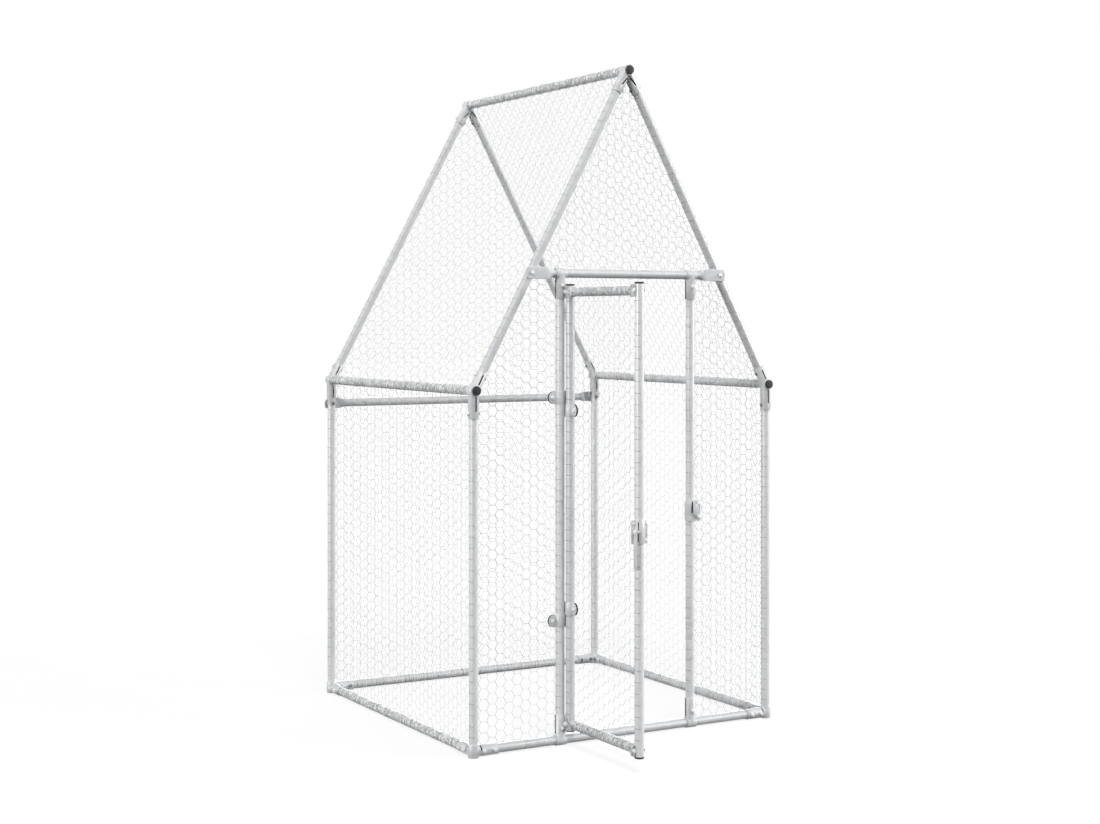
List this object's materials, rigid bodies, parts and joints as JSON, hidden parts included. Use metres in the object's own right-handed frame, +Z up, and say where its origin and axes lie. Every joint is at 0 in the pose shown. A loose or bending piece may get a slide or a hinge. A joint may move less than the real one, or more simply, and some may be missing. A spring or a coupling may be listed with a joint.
{
  "type": "chicken cage",
  "caption": "Walk-in poultry cage of galvanised tube with a steep gable roof, hexagonal wire netting on every side and a hinged, netted door with a drop-lever latch.",
  "frame": {"origin": "on the floor, under the middle of the four corner posts", "axes": "+Z up, +Y from the front gable with the door to the back, +X to the right seen from the front"},
  "size_m": [1.0112, 1.3923, 1.901],
  "materials": {
    "galvanised_tube": "satin zinc",
    "galvanised_fitting": "satin zinc",
    "zinc_bolt": "bright zinc",
    "wire_net": "galvanised wire",
    "black_plastic": "matt"
  },
  "bodies": {
    "frame": {"back_tie": "galvanised_tube", "base_corner_back_left": "galvanised_fitting", "base_corner_back_right": "galvanised_fitting", "base_corner_front_left": "galvanised_fitting", "base_corner_front_right": "galvanised_fitting", "base_tube_back": "galvanised_tube", "base_tube_front": "galvanised_tube", "base_tube_left": "galvanised_tube", "base_tube_right": "galvanised_tube", "door_head": "galvanised_tube", "eave_joint_back_left": "galvanised_fitting", "eave_joint_back_right": "galvanised_fitting", "eave_joint_front_left": "galvanised_fitting", "eave_joint_front_right": "galvanised_fitting", "eave_tube_left": "galvanised_tube", "eave_tube_right": "galvanised_tube", "frame_bolts": "zinc_bolt", "hinge_pins": "zinc_bolt", "hinge_post": "galvanised_tube", "hinge_post_foot_tee": "galvanised_fitting", "hinge_post_head_tee": "galvanised_fitting", "hinge_post_strap_lower": "galvanised_fitting", "hinge_post_strap_upper": "galvanised_fitting", "latch_keeper": "galvanised_fitting", "latch_keeper_strap": "galvanised_fitting", "latch_post": "galvanised_tube", "latch_post_foot_tee": "galvanised_fitting", "latch_post_head_tee": "galvanised_fitting", "net_back": "wire_net", "net_front_gable": "wire_net", "net_front_left": "wire_net", "net_front_right": "wire_net", "net_left_roof": "wire_net", "net_left_wall": "wire_net", "net_right_roof": "wire_net", "net_right_wall": "wire_net", "post_back_left": "galvanised_tube", "post_back_right": "galvanised_tube", "post_front_left": "galvanised_tube", "post_front_right": "galvanised_tube", "rafter_back_left": "galvanised_tube", "rafter_back_right": "galvanised_tube", "rafter_front_left": "galvanised_tube", "rafter_front_right": "galvanised_tube", "ridge_joint_back": "galvanised_fitting", "ridge_joint_front": "galvanised_fitting", "ridge_tube": "galvanised_tube", "tube_end_caps": "black_plastic"},
    "door": {"door_bolts": "zinc_bolt", "door_bottom_rail": "galvanised_tube", "door_end_caps": "black_plastic", "door_hinge_stile": "galvanised_tube", "door_lock_stile": "galvanised_tube", "door_top_rail": "galvanised_tube", "hinge_door_strap_lower": "galvanised_fitting", "hinge_door_strap_upper": "galvanised_fitting", "latch_clamp_edge": "galvanised_fitting", "latch_clamp_inner": "galvanised_fitting", "net_door": "wire_net"},
    "lever": {"latch_lever": "galvanised_fitting"}
  },
  "joints": [
    {"name": "door_swing", "type": "hinge", "parent": "frame", "child": "door", "pos_m": [-0.1968, -0.4865, 0.66], "axis": [0, 0, 1], "range_deg": [0, 90]},
    {"name": "latch_lever", "type": "hinge", "parent": "door", "child": "lever", "pos_m": [-0.1968, -0.8695, 0.63], "axis": [-1, 0, 0], "range_deg": [0, 145]}
  ]
}
